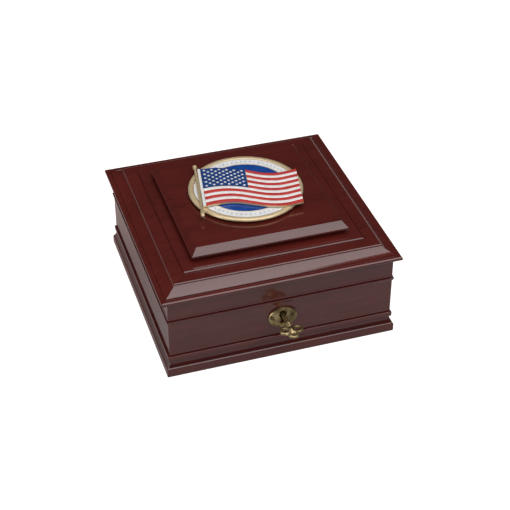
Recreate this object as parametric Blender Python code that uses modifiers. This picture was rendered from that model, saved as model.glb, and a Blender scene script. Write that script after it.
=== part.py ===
"""A square wooden keepsake box with a hinged lid, a lock, a key and a flag medallion. Metres, +Z up."""

import math

import bmesh
import bpy
from mathutils import Matrix, Vector

MM = 0.001

# Plan sizes, as distances from the centre line in millimetres
LID_HALF = 105.0
WALL_OUT = 99.0
WALL_IN = 90.0
PLINTH_OUT = 102.2
PLINTH_REBATE = 93.3
MITRE_GAP = 0.15
CLEAR = 0.3

# Heights in millimetres
PLINTH_FOOT = 0.3
PLINTH_TOP = 20.6
WALL_FOOT = 20.9
WALL_TOP = 57.95
SKIRT_FOOT = 58.25
SKIRT_TOP = 79.35
MOULDING_FOOT = 79.65
LIP_FOOT = 78.4
MOULDING_TOP = 88.8
LID_TOP = 90.1
PANEL_FOOT = 90.4
PANEL_TOP = 101.3

# Lock and key
KEY_Z = 42.9
SHAFT_R = 1.9
BIT_R = 8.5
BIT_HALF = 1.0
BIT_Y = (-94.4, -92.6)

# Hinges
HINGE_X = 62.0
HINGE_Y = 101.6
HINGE_Z = 58.1
LEAF_HALF = 12.5
KNUCKLE_R = 2.2
PIN_R = 0.95
PIN_BORE_R = 1.0

# Medallion
DISC_R = 50.35
MEDAL_TURN = math.radians(-16.0)
MEDAL_Y = 3.5
FLAG_Y = 2.3
DISC_FOOT = 101.6
DISC_EDGE = 103.4
DISC_FLOOR = 104.1
DISC_RIM = 105.6
ENAMEL_FOOT = 104.4
ENAMEL_TOP = 105.1
FLAG_FOOT = 105.9
FLAG_TOP = 107.3

for old in list(bpy.data.objects):
    bpy.data.objects.remove(old, do_unlink=True)

parts = bpy.data.collections.new("keepsake_box")
bpy.context.scene.collection.children.link(parts)
cutters = bpy.data.collections.new("cutters")
cutters.hide_render = True
bpy.context.scene.collection.children.link(cutters)

COLOURS = {
    "mahogany": (0.075, 0.018, 0.014, 1.0),
    "felt": (0.05, 0.02, 0.02, 1.0),
    "plywood": (0.45, 0.3, 0.18, 1.0),
    "velvet": (0.02, 0.02, 0.025, 1.0),
    "brass": (0.35, 0.26, 0.1, 1.0),
    "steel": (0.5, 0.5, 0.5, 1.0),
    "gold": (0.75, 0.6, 0.32, 1.0),
    "white": (0.85, 0.85, 0.85, 1.0),
    "blue": (0.02, 0.05, 0.3, 1.0),
}


def painted(obj, name):
    """The object's own material, in one of the colours."""
    material = bpy.data.materials.new(obj.name + "_" + name)
    material.use_nodes = True
    shader = material.node_tree.nodes["Principled BSDF"]
    shader.inputs["Base Color"].default_value = COLOURS[name]
    shader.inputs["Roughness"].default_value = 0.4
    if name in ("brass", "steel", "gold"):
        shader.inputs["Metallic"].default_value = 1.0
    obj.data.materials.clear()
    obj.data.materials.append(material)
    return obj


def placed(name, bm, colour):
    """A mesh object from a bmesh in millimetres. Without a colour it is a cutter."""
    bmesh.ops.recalc_face_normals(bm, faces=bm.faces[:])
    bmesh.ops.scale(bm, vec=(MM, MM, MM), verts=bm.verts[:])
    mesh = bpy.data.meshes.new(name)
    bm.to_mesh(mesh)
    bm.free()
    obj = bpy.data.objects.new(name, mesh)
    if colour:
        parts.objects.link(obj)
        return painted(obj, colour)
    cutters.objects.link(obj)
    obj.hide_render = True
    obj.display_type = "WIRE"
    return obj


def block(name, x, y, z, colour=None):
    """A box that spans x, y and z, each a low and a high value."""
    bm = bmesh.new()
    bmesh.ops.create_cube(bm, size=1.0)
    size = (x[1] - x[0], y[1] - y[0], z[1] - z[0])
    middle = ((x[0] + x[1]) / 2, (y[0] + y[1]) / 2, (z[0] + z[1]) / 2)
    bmesh.ops.scale(bm, vec=size, verts=bm.verts[:])
    bmesh.ops.translate(bm, vec=middle, verts=bm.verts[:])
    return placed(name, bm, colour)


def rod(name, start, end, radius, colour=None, sides=20, radius_end=None):
    """A round bar or a cone from one point to another."""
    start = Vector(start)
    along = Vector(end) - start
    turn = Vector((0, 0, 1)).rotation_difference(along).to_matrix().to_4x4()
    bm = bmesh.new()
    bmesh.ops.create_cone(
        bm,
        cap_ends=True,
        segments=sides,
        radius1=radius,
        radius2=radius if radius_end is None else radius_end,
        depth=along.length,
    )
    middle = Matrix.Translation(start + along / 2)
    bmesh.ops.transform(bm, matrix=middle @ turn, verts=bm.verts[:])
    return placed(name, bm, colour)


def ball(name, centre, radii, colour=None):
    """An ellipsoid."""
    bm = bmesh.new()
    bmesh.ops.create_uvsphere(bm, u_segments=16, v_segments=8, radius=1.0)
    bmesh.ops.scale(bm, vec=radii, verts=bm.verts[:])
    bmesh.ops.translate(bm, vec=centre, verts=bm.verts[:])
    return placed(name, bm, colour)


def extruded(name, outline, half_depth):
    """A closed 2D outline in X and Y, filled and extruded along Z, as a bmesh in millimetres."""
    curve = bpy.data.curves.new(name, "CURVE")
    curve.dimensions = "2D"
    curve.fill_mode = "BOTH"
    curve.extrude = half_depth
    spline = curve.splines.new("POLY")
    spline.points.add(len(outline) - 1)
    for point, (x, y) in zip(spline.points, outline):
        point.co = (x, y, 0.0, 1.0)
    spline.use_cyclic_u = True
    guide = bpy.data.objects.new(name + "_outline", curve)
    parts.objects.link(guide)
    bpy.context.view_layer.update()
    graph = bpy.context.evaluated_depsgraph_get()
    mesh = bpy.data.meshes.new_from_object(guide.evaluated_get(graph))
    bpy.data.objects.remove(guide)
    bpy.data.curves.remove(curve)
    bm = bmesh.new()
    bm.from_mesh(mesh)
    bpy.data.meshes.remove(mesh)
    bmesh.ops.remove_doubles(bm, verts=bm.verts[:], dist=0.001)
    return bm


def mitred(name, profile, turn, colour):
    """A straight moulding with this section (distance out, height), mitred at both ends, on one side of the box."""
    bm = extruded(name, profile, 130.0)
    bmesh.ops.rotate(bm, matrix=Matrix.Rotation(math.radians(90), 3, "X"), verts=bm.verts[:])
    for sign in (1, -1):
        normal = Vector((-1, sign, 0)).normalized()
        everything = bm.verts[:] + bm.edges[:] + bm.faces[:]
        cut = bmesh.ops.bisect_plane(
            bm, geom=everything, plane_co=-normal * MITRE_GAP, plane_no=normal, clear_outer=True
        )
        edges = [item for item in cut["geom_cut"] if isinstance(item, bmesh.types.BMEdge)]
        bmesh.ops.contextual_create(bm, geom=edges)
    bmesh.ops.rotate(bm, matrix=Matrix.Rotation(turn, 3, "Z"), verts=bm.verts[:])
    return placed(name, bm, colour)


def four_sides(name, profile, colour):
    """The same mitred moulding on the right, back, left and front of the box."""
    made = {}
    for index, side in enumerate(("right", "back", "left", "front")):
        made[side] = mitred(name + "_" + side, profile, index * math.pi / 2, colour)
    return made


def turned(name, profile, steps, colour, closed=False, turn=0.0):
    """A profile of (radius, height) swept round Z by a Screw modifier."""
    mesh = bpy.data.meshes.new(name)
    points = [(radius * MM, 0.0, height * MM) for radius, height in profile]
    edges = [(i, i + 1) for i in range(len(points) - 1)]
    if closed:
        edges.append((len(points) - 1, 0))
    mesh.from_pydata(points, edges, [])
    obj = bpy.data.objects.new(name, mesh)
    parts.objects.link(obj)
    obj.rotation_euler.z = turn
    screw = obj.modifiers.new("Screw", "SCREW")
    screw.axis = "Z"
    screw.angle = 2 * math.pi
    screw.steps = steps
    screw.render_steps = steps
    screw.use_merge_vertices = True
    screw.merge_threshold = 1e-5
    screw.use_smooth_shade = False
    return painted(obj, colour)


def square(name, profile, colour):
    """A square slab: the profile gives half widths and heights."""
    diagonal = [(half * math.sqrt(2), height) for half, height in profile]
    return turned(name, diagonal, 4, colour, turn=math.pi / 4)


def boolean(obj, other, operation):
    """Adds an exact Boolean with a cutter."""
    modifier = obj.modifiers.new(other.name, "BOOLEAN")
    modifier.operation = operation
    modifier.solver = "EXACT"
    modifier.object = other


def cut(obj, *others):
    for other in others:
        boolean(obj, other, "DIFFERENCE")


def add(obj, *others):
    for other in others:
        boolean(obj, other, "UNION")


def arc(centre, radii, first, last, count):
    """Points of an elliptical arc. The angles are in degrees, from +X towards +Z."""
    found = []
    for i in range(count + 1):
        angle = math.radians(first + (last - first) * i / count)
        found.append((centre[0] + radii[0] * math.cos(angle), centre[1] + radii[1] * math.sin(angle)))
    return found


def bend(start, control, end, count):
    """Points of a quadratic curve."""
    found = []
    for i in range(count + 1):
        t = i / count
        found.append(
            tuple((1 - t) ** 2 * a + 2 * t * (1 - t) * b + t * t * c for a, b, c in zip(start, control, end))
        )
    return found


# ---------------------------------------------------------------- wooden body

plinth_section = [(WALL_IN, PLINTH_TOP), (100.0, PLINTH_TOP), (100.3, PLINTH_TOP - 0.15), (100.4, PLINTH_TOP - 0.5)]
plinth_section += [(100.4, 17.9)]
plinth_section += arc((98.9, 17.4), (1.5, 2.2), -8, -84, 6)
plinth_section += [(98.9, 14.9)]
plinth_section += bend((98.95, 14.6), (99.8, 11.0), (101.5, 8.7), 6)
plinth_section += [(101.9, 8.3), (102.1, 7.8), (PLINTH_OUT, 7.2), (PLINTH_OUT, PLINTH_FOOT + 0.8)]
plinth_section += [(PLINTH_OUT - 0.25, PLINTH_FOOT + 0.25), (PLINTH_OUT - 0.8, PLINTH_FOOT)]
plinth_section += [(PLINTH_REBATE, PLINTH_FOOT), (PLINTH_REBATE, 7.3), (WALL_IN, 7.3)]
four_sides("plinth", plinth_section, "mahogany")

wall_section = [(WALL_IN, WALL_TOP), (99.9, WALL_TOP), (100.2, WALL_TOP - 0.15), (100.3, WALL_TOP - 0.5)]
wall_section += [(100.3, WALL_TOP - 1.0), (99.9, WALL_TOP - 2.1), (99.3, WALL_TOP - 3.2), (WALL_OUT, WALL_TOP - 3.7)]
wall_section += [(WALL_OUT, WALL_FOOT + 0.8), (WALL_OUT - 0.8, WALL_FOOT), (WALL_IN, WALL_FOOT)]
walls = four_sides("wall", wall_section, "mahogany")

square("bottom_panel", [(0, 7.0), (93.0, 7.0), (93.0, 3.0), (0, 3.0)], "plywood")
square("bottom_felt", [(0, 2.7), (92.0, 2.7), (92.0, 0.0), (0, 0.0)], "felt")
square("floor_lining", [(0, 10.3), (89.2, 10.3), (89.5, 10.0), (89.5, 7.3), (0, 7.3)], "velvet")

LINING_Z = (10.6, 52.0)
wall_lining_front = block("wall_lining_front", (-87.9, 87.9), (-89.7, -88.2), LINING_Z, "velvet")
block("wall_lining_back", (-87.9, 87.9), (88.2, 89.7), LINING_Z, "velvet")
block("wall_lining_left", (-89.7, -88.2), (-89.5, 89.5), LINING_Z, "velvet")
block("wall_lining_right", (88.2, 89.7), (-89.5, 89.5), LINING_Z, "velvet")

# ---------------------------------------------------------------- wooden lid

hinge_axis = bpy.data.objects.new("lid_axis", None)
parts.objects.link(hinge_axis)
hinge_axis.location = (0.0, HINGE_Y * MM, HINGE_Z * MM)

skirt_section = [(WALL_IN, SKIRT_TOP), (WALL_OUT, SKIRT_TOP)]
skirt_section += [(WALL_OUT, SKIRT_FOOT + 2.4), (99.3, SKIRT_FOOT + 1.6), (99.45, SKIRT_FOOT + 0.9)]
skirt_section += [(99.3, SKIRT_FOOT + 0.5), (98.8, SKIRT_FOOT), (WALL_IN, SKIRT_FOOT)]
skirts = four_sides("skirt", skirt_section, "mahogany")

moulding_section = [(79.85, MOULDING_TOP), (90.0, MOULDING_TOP), (90.5, MOULDING_TOP - 0.2), (90.9, MOULDING_TOP - 0.7)]
moulding_section += bend((91.0, 87.8), (92.9, 84.4), (100.3, 82.9), 8)
moulding_section += [(100.4, 81.7), (103.5, 81.6), (104.4, 81.25), (104.9, 80.6), (LID_HALF, 79.9)]
moulding_section += [(104.9, 79.2), (104.5, 78.65), (103.9, LIP_FOOT), (99.35, LIP_FOOT)]
moulding_section += [(99.35, MOULDING_FOOT), (79.85, MOULDING_FOOT)]
mouldings = four_sides("lid_moulding", moulding_section, "mahogany")

lid_panel = square(
    "lid_panel",
    [(0, LID_TOP), (78.5, LID_TOP), (79.45, LID_TOP - 1.0), (79.55, LID_TOP - 1.3), (79.55, MOULDING_FOOT), (0, MOULDING_FOOT)],
    "mahogany",
)
raised_panel = square(
    "raised_panel",
    [
        (0, PANEL_TOP),
        (64.0, PANEL_TOP),
        (68.9, 95.7),
        (69.2, 95.2),
        (69.2, 94.6),
        (68.9, 94.2),
        (66.6, PANEL_FOOT),
        (0, PANEL_FOOT),
    ],
    "mahogany",
)
lid_lining = square(
    "lid_lining", [(0, 79.35), (89.5, 79.35), (89.5, 77.6), (89.3, 77.4), (0, 77.4)], "velvet"
)

# ---------------------------------------------------------------- lock

escutcheon = rod("escutcheon", (0, -99.3, 0), (0, -100.9, 0), 1.0, "brass", sides=40)
for vertex in escutcheon.data.vertices:
    vertex.co.x *= 12.8
    vertex.co.z = vertex.co.z * 9.85 + 40.06 * MM
dish = rod("escutcheon_dish", (0, -100.2, 0), (0, -102.0, 0), 1.0, sides=40)
for vertex in dish.data.vertices:
    vertex.co.x *= 11.5
    vertex.co.z = vertex.co.z * 8.55 + 40.06 * MM
keyhole_round = rod("keyhole_round", (0, -102.5, KEY_Z), (0, -95.5, KEY_Z), 3.5, sides=24)
keyhole_slot = block("keyhole_slot", (-2.0, 2.0), (-102.4, -95.6), (32.8, KEY_Z))
cut(escutcheon, dish, keyhole_round, keyhole_slot)
cut(walls["front"], keyhole_round, keyhole_slot)

for side, x in (("left", -8.7), ("right", 8.7)):
    hole = rod("escutcheon_hole_" + side, (x, -101.5, 39.8), (x, -96.5, 39.8), 0.8, sides=12)
    cut(escutcheon, hole)
    cut(walls["front"], hole)
    pin = rod("escutcheon_pin_" + side, (x, -96.8, 39.8), (x, -100.9, 39.8), 0.5, "brass", sides=12)
    head = ball("escutcheon_head_" + side, (x, -100.9, 39.8), (1.35, 0.75, 1.35))
    flat = block("escutcheon_flat_" + side, (x - 2, x + 2), (-100.5, -99.0), (37, 43))
    cut(head, flat)
    add(pin, head)

mortise = block("lock_mortise", (-16.3, 16.3), (-96.3, -89.0), (31.2, 59.0))
cut(walls["front"], mortise)
cut(wall_lining_front, block("lining_notch", (-17.0, 17.0), (-91.0, -87.0), (30.5, 53.0)))

lock_case = block("lock_case", (-16.0, 16.0), (-96.0, -91.3), (31.5, 57.8), "brass")
cut(lock_case, block("lock_hollow", (-15.0, 15.0), (-95.0, -90.0), (32.5, 56.6)))
add(lock_case, rod("bolt_guide", (1.5, -95.5, 53.9), (1.5, -91.8, 53.9), 0.9, sides=12))
cut(
    lock_case,
    rod("case_keyhole", (0, -97.0, KEY_Z), (0, -94.5, KEY_Z), 2.3),
    block("case_bit_slot", (-1.4, 1.4), (-96.9, -94.6), (33.9, KEY_Z)),
    block("case_hook_slot", (8.7, 14.4), (-94.95, -92.2), (56.0, 58.5)),
)
lock_cover = block("lock_cover", (-16.0, 16.0), (-91.0, -90.2), (31.5, 57.8), "brass")

for side, x in (("left", -12.5), ("right", 12.5)):
    hole = rod("lock_hole_" + side, (x, -98.2, 35.5), (x, -89.5, 35.5), 1.1, sides=12)
    cut(walls["front"], hole)
    cut(lock_case, hole)
    cut(lock_cover, hole)
    screw = rod("lock_screw_" + side, (x, -98.0, 35.5), (x, -89.5, 35.5), 0.8, "steel", sides=12)
    add(screw, rod("lock_screw_head_" + side, (x, -89.9, 35.5), (x, -89.1, 35.5), 1.9, sides=16))
    cut(screw, block("lock_screw_slot_" + side, (x - 2.5, x + 2.5), (-89.4, -88.5), (35.25, 35.75)))

bolt = block("lock_bolt", (-11.5, 6.5), (-94.4, -92.4), (49.1, 55.9), "steel")
add(bolt, block("bolt_finger", (5.5, 8.2), (-94.4, -92.4), (50.3, 53.1)))
cut(
    bolt,
    block("bolt_talon", (-8.2, -1.3), (-95.0, -92.0), (48.0, 51.9)),
    block("bolt_slot", (-2.2, 5.2), (-95.0, -92.0), (52.7, 55.1)),
)

key = rod("key", (0, -91.6, KEY_Z), (0, -119.0, KEY_Z), SHAFT_R, "brass", sides=16)
add(
    key,
    block("key_bit", (-BIT_R, -1.0), BIT_Y, (KEY_Z - BIT_HALF, KEY_Z + BIT_HALF)),
    rod("key_collar", (0, -113.0, KEY_Z), (0, -115.6, KEY_Z), 3.0, sides=20),
    rod("key_lobe_left", (-5.2, -122.4, KEY_Z - 1.1), (-5.2, -122.4, KEY_Z + 1.1), 4.9, sides=24),
    rod("key_lobe_right", (5.2, -122.4, KEY_Z - 1.05), (5.2, -122.4, KEY_Z + 1.05), 4.9, sides=24),
    rod("key_lobe_front", (0, -128.4, KEY_Z - 1.0), (0, -128.4, KEY_Z + 1.0), 5.0, sides=24),
)
cut(
    key,
    rod("key_loop_left", (-5.4, -122.4, KEY_Z - 3), (-5.4, -122.4, KEY_Z + 3), 2.3, sides=16),
    rod("key_loop_right", (5.4, -122.4, KEY_Z - 3), (5.4, -122.4, KEY_Z + 3), 2.3, sides=16),
    rod("key_loop_front", (0, -129.0, KEY_Z - 3), (0, -129.0, KEY_Z + 3), 2.3, sides=16),
)

cut(skirts["front"], block("catch_recess", (3.7, 19.3), (-97.3, -90.7), (57.5, 60.05)))
catch_plate = block("catch_plate", (4.0, 19.0), (-97.0, -91.0), (58.25, 59.75), "brass")
for side, x in (("left", 6.8), ("right", 16.6)):
    pilot = rod("catch_hole_" + side, (x, -94.0, 57.0), (x, -94.0, 66.3), 1.1, sides=12)
    cut(skirts["front"], pilot)
    cut(catch_plate, pilot)
    cut(catch_plate, rod("catch_sink_" + side, (x, -94.0, 57.0), (x, -94.0, 59.25), 2.0, sides=16))
    screw = rod("catch_screw_" + side, (x, -94.0, 58.35), (x, -94.0, 66.0), 0.8, "steel", sides=12)
    add(screw, rod("catch_head_" + side, (x, -94.0, 58.35), (x, -94.0, 58.95), 1.7, sides=16))
add(
    catch_plate,
    block("catch_tongue", (12.5, 14.0), (-94.2, -92.6), (47.0, 59.0)),
    block("catch_hook", (9.2, 13.0), (-94.2, -92.6), (47.0, 48.9)),
)

# ---------------------------------------------------------------- hinges

SCREW_Y = 94.6
hinge_parts = []
for side, x in (("left", -HINGE_X), ("right", HINGE_X)):
    wide = (x - LEAF_HALF, x + LEAF_HALF)
    roomy = (x - LEAF_HALF - CLEAR, x + LEAF_HALF + CLEAR)
    low = (x - LEAF_HALF, x - 4.2)
    high = (x + 4.2, x + LEAF_HALF)
    middle = (x - 3.9, x + 3.9)
    bore = rod("hinge_bore_" + side, (x - 15, HINGE_Y, HINGE_Z), (x + 15, HINGE_Y, HINGE_Z), PIN_BORE_R, sides=24)

    leaf = block("hinge_body_leaf_" + side, wide, (91.5, 98.9), (56.8, 57.95), "brass")
    for end, span in (("low", low), ("high", high)):
        neck = block("body_neck_" + end + "_" + side, span, (98.5, 101.2), (56.8, 57.95))
        knuckle = rod(
            "body_knuckle_" + end + "_" + side,
            (span[0], HINGE_Y, HINGE_Z),
            (span[1], HINGE_Y, HINGE_Z),
            KNUCKLE_R,
            sides=24,
        )
        add(leaf, neck, knuckle)
    add(
        leaf,
        block("stop_web_" + side, middle, (98.2, 98.85), (54.7, 57.7)),
        block("stop_foot_" + side, (x - 3.8, x + 3.8), (98.3, 100.2), (54.6, 55.9)),
    )
    cut(leaf, bore)
    cut(
        walls["back"],
        block("leaf_mortise_" + side, roomy, (91.2, 99.5), (56.5, 59.0)),
        block("bead_relief_" + side, roomy, (98.9, 102.0), (50.0, 58.9)),
        block("stop_relief_" + side, (x - 4.3, x + 4.3), (97.9, 99.2), (54.2, 57.0)),
    )

    upper = block("hinge_lid_leaf_" + side, wide, (91.5, 98.9), (58.25, 59.4), "brass")
    add(
        upper,
        block("lid_neck_" + side, middle, (98.5, 101.2), (58.25, 59.4)),
        rod(
            "lid_knuckle_" + side,
            (middle[0], HINGE_Y, HINGE_Z),
            (middle[1], HINGE_Y, HINGE_Z),
            KNUCKLE_R,
            sides=24,
        ),
        block("stop_heel_" + side, (x - 3.6, x + 3.6), (103.1, 105.0), (57.1, 59.1)),
    )
    cut(upper, bore)
    cut(
        skirts["back"],
        block("lid_leaf_mortise_" + side, roomy, (91.2, 99.5), (57.0, 59.7)),
        block("lid_bead_relief_" + side, roomy, (98.9, 102.0), (57.1, 63.0)),
    )
    rod(
        "hinge_pin_" + side,
        (x - 12.9, HINGE_Y, HINGE_Z),
        (x + 12.9, HINGE_Y, HINGE_Z),
        PIN_R,
        "steel",
        sides=24,
    )
    hinge_parts.append((side, x, leaf, upper))

number = 0
for side, x, leaf, upper in hinge_parts:
    for offset in (-8.0, 8.0):
        number += 1
        at = x + offset
        tag = str(number)
        down = rod("body_pilot_" + tag, (at, SCREW_Y, 48.0), (at, SCREW_Y, 59.5), 0.9, sides=12)
        sink = rod("body_sink_" + tag, (at, SCREW_Y, 57.3), (at, SCREW_Y, 59.0), 1.7, sides=16)
        cut(walls["back"], down)
        cut(leaf, down, sink)
        screw = rod("body_leaf_screw_" + tag, (at, SCREW_Y, 48.3), (at, SCREW_Y, 57.9), 0.6, "steel", sides=12)
        add(screw, rod("body_screw_head_" + tag, (at, SCREW_Y, 57.6), (at, SCREW_Y, 57.9), 1.4, sides=16))
        up = rod("lid_pilot_" + tag, (at, SCREW_Y, 57.0), (at, SCREW_Y, 68.3), 0.9, sides=12)
        lift = rod("lid_sink_" + tag, (at, SCREW_Y, 57.2), (at, SCREW_Y, 58.9), 1.7, sides=16)
        cut(skirts["back"], up)
        cut(upper, up, lift)
        screw = rod("lid_leaf_screw_" + tag, (at, SCREW_Y, 58.3), (at, SCREW_Y, 68.0), 0.6, "steel", sides=12)
        add(screw, rod("lid_screw_head_" + tag, (at, SCREW_Y, 58.3), (at, SCREW_Y, 58.6), 1.4, sides=16))

# ---------------------------------------------------------------- medallion

disc = turned(
    "medallion_disc",
    [
        (0, DISC_FLOOR),
        (45.7, DISC_FLOOR),
        (45.9, DISC_RIM - 0.4),
        (46.3, DISC_RIM - 0.1),
        (47.0, DISC_RIM),
        (49.2, DISC_RIM),
        (50.0, DISC_RIM - 0.4),
        (DISC_R, DISC_RIM - 1.0),
        (DISC_R, DISC_EDGE + 0.4),
        (50.0, DISC_EDGE),
        (45.0, DISC_EDGE),
        (45.0, DISC_FOOT),
        (0, DISC_FOOT),
    ],
    64,
    "gold",
)
white_ring = turned(
    "medallion_white_ring",
    [(45.3, ENAMEL_TOP), (45.3, ENAMEL_FOOT), (37.5, ENAMEL_FOOT), (37.5, ENAMEL_TOP)],
    64,
    "white",
    closed=True,
)
blue_field = turned(
    "medallion_blue_field",
    [(0, ENAMEL_TOP), (36.7, ENAMEL_TOP), (36.7, ENAMEL_FOOT), (0, ENAMEL_FOOT)],
    64,
    "blue",
)
for piece in (disc, white_ring, blue_field):
    piece.location.y = MEDAL_Y * MM

FLAG_TOP_EDGE = [
    (-43.0, 27.2),
    (-40.0, 27.0),
    (-27.0, 28.6),
    (-13.3, 27.1),
    (-0.6, 25.3),
    (9.3, 21.9),
    (18.3, 19.8),
    (27.4, 19.7),
    (36.4, 22.1),
    (45.1, 25.2),
]
FLAG_FOOT_EDGE = [
    (48.8, -26.1),
    (34.9, -31.0),
    (21.8, -31.5),
    (8.8, -28.8),
    (-4.4, -25.3),
    (-13.1, -24.6),
    (-26.2, -27.1),
    (-35.8, -30.5),
    (-37.25, -31.5),
]


def smooth(points, count):
    """A Catmull-Rom curve through the points."""
    ends = [points[0]] + list(points) + [points[-1]]
    found = []
    for i in range(1, len(ends) - 2):
        for step in range(count):
            t = step / count
            found.append(
                tuple(
                    0.5 * (2 * b + (c - a) * t + (2 * a - 5 * b + 4 * c - d) * t * t + (3 * b - a - 3 * c + d) * t**3)
                    for a, b, c, d in zip(ends[i - 1], ends[i], ends[i + 1], ends[i + 2])
                )
            )
    found.append(points[-1])
    return found


flag_outline = smooth(FLAG_TOP_EDGE, 3) + smooth(FLAG_FOOT_EDGE, 3)
flag_bm = extruded("medallion_flag", flag_outline, (FLAG_TOP - FLAG_FOOT) / 2)
bmesh.ops.translate(flag_bm, vec=(0, 0, (FLAG_TOP + FLAG_FOOT) / 2), verts=flag_bm.verts[:])
bmesh.ops.rotate(flag_bm, matrix=Matrix.Rotation(MEDAL_TURN, 3, "Z"), verts=flag_bm.verts[:])
bmesh.ops.translate(flag_bm, vec=(0, FLAG_Y, 0), verts=flag_bm.verts[:])
placed("medallion_flag", flag_bm, "gold")


def on_medal(u, v, z):
    """A point in the flag's own turned frame."""
    return Matrix.Rotation(MEDAL_TURN, 3, "Z") @ Vector((u, v, z)) + Vector((0, FLAG_Y, 0))


POLE_Z = 107.05
POLE_HEAD = (-45.2, 34.0)
POLE_FOOT = (-37.3, -45.5)
POLE_LENGTH = math.hypot(POLE_HEAD[0] - POLE_FOOT[0], POLE_HEAD[1] - POLE_FOOT[1])
pole_section = [
    (0, POLE_LENGTH),
    (1.1, POLE_LENGTH - 0.5),
    (1.95, POLE_LENGTH - 2.0),
    (1.95, POLE_LENGTH - 3.6),
    (1.2, POLE_LENGTH - 5.6),
    (1.1, POLE_LENGTH - 7.0),
    (1.1, 9.2),
    (1.6, 8.2),
    (1.9, 3.6),
    (1.6, 1.4),
    (0.9, 0.3),
    (0, 0.0),
]
pole = turned("medallion_pole", pole_section, 12, "gold")
foot_point = on_medal(*POLE_FOOT, POLE_Z)
along = on_medal(*POLE_HEAD, POLE_Z) - foot_point
pole.rotation_mode = "QUATERNION"
pole.rotation_quaternion = Vector((0, 0, 1)).rotation_difference(along)
pole.location = foot_point * MM

# ---------------------------------------------------------------- moving parts

key_axis = bpy.data.objects.new("key_axis", None)
parts.objects.link(key_axis)
key_axis.location = (0.0, -WALL_OUT * MM, KEY_Z * MM)
bpy.context.view_layer.update()


def hang(obj, holder):
    obj.parent = holder
    obj.matrix_parent_inverse = holder.matrix_world.inverted()


LID_NAMES = (
    "skirt_",
    "lid_moulding_",
    "lid_panel",
    "raised_panel",
    "lid_lining",
    "hinge_lid_leaf_",
    "lid_leaf_screw_",
    "catch_plate",
    "catch_screw_",
    "medallion_",
)
for obj in list(parts.objects):
    if obj.type == "MESH" and obj.name.startswith(LID_NAMES):
        hang(obj, hinge_axis)
hang(key, key_axis)
bpy.context.view_layer.update()
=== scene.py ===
import bmesh
import bpy
import math
from mathutils import Matrix, Vector


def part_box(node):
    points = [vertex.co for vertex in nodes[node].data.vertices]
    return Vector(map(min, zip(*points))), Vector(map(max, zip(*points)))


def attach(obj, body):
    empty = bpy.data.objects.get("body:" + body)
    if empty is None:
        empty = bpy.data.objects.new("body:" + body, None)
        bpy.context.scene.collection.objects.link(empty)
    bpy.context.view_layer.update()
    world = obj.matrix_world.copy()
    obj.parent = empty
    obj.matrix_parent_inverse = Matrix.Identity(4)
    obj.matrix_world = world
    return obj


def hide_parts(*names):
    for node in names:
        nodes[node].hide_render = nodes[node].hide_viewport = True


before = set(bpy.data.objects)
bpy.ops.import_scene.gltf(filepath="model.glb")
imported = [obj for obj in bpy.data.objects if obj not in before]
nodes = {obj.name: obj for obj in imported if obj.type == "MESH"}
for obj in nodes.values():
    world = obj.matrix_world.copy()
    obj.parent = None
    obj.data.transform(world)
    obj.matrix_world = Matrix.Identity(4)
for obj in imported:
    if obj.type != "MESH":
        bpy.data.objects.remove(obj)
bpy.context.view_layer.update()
scene = bpy.context.scene
scene.view_settings.view_transform = "Standard"
MM = 0.001
QUARTER = math.pi / 2


def place_of(node):
    """The lowest and highest corner of a CAD node at rest, in millimetres."""
    low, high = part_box(node)
    return low / MM, high / MM


# ------------------------------------------------------------------ camera

CAMERA_PLACE = (-0.285056, -0.914044, 0.747200)
CAMERA_TILT = math.radians(53.305)
CAMERA_PAN = math.radians(-17.747)
CAMERA_LENS = 93.178

cam_data = bpy.data.cameras.new("camera")
cam_data.sensor_width = 36.0
cam_data.lens = CAMERA_LENS
cam_data.clip_start = 0.01
cam_data.clip_end = 50.0
cam = bpy.data.objects.new("camera", cam_data)
scene.collection.objects.link(cam)
cam.location = CAMERA_PLACE
cam.rotation_euler = (CAMERA_TILT, 0.0, CAMERA_PAN)
scene.camera = cam

# ------------------------------------------------------------------ node helpers


def new_material(name):
    """A new node material, with its tree and its shader."""
    material = bpy.data.materials.new(name)
    material.use_nodes = True
    tree = material.node_tree
    return material, tree, tree.nodes["Principled BSDF"]


def link(tree, a, b):
    tree.links.new(a, b)


def object_coords(tree, scale=(1, 1, 1), rotation=(0, 0, 0), location=(0, 0, 0)):
    """The object's own coordinates in metres, scaled, turned and shifted."""
    where = tree.nodes.new("ShaderNodeTexCoord")
    mapping = tree.nodes.new("ShaderNodeMapping")
    mapping.inputs["Scale"].default_value = scale
    mapping.inputs["Rotation"].default_value = rotation
    mapping.inputs["Location"].default_value = location
    link(tree, where.outputs["Object"], mapping.inputs["Vector"])
    return mapping.outputs["Vector"]


def noise(tree, vector, scale, detail=4.0, rough=0.55, distortion=0.0):
    node = tree.nodes.new("ShaderNodeTexNoise")
    node.inputs["Scale"].default_value = scale
    node.inputs["Detail"].default_value = detail
    node.inputs["Roughness"].default_value = rough
    node.inputs["Distortion"].default_value = distortion
    link(tree, vector, node.inputs["Vector"])
    return node.outputs["Fac"]


def ramp(tree, value, stops):
    """A colour ramp: each stop is (place, colour), and a single number is a grey."""
    node = tree.nodes.new("ShaderNodeValToRGB")
    elements = node.color_ramp.elements
    while len(elements) < len(stops):
        elements.new(0.5)
    for element, (place, colour) in zip(elements, stops):
        element.position = place
        if not hasattr(colour, "__len__"):
            colour = (colour, colour, colour)
        element.color = tuple(colour[:3]) + (1.0,)
    link(tree, value, node.inputs["Fac"])
    return node.outputs["Color"]


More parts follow.
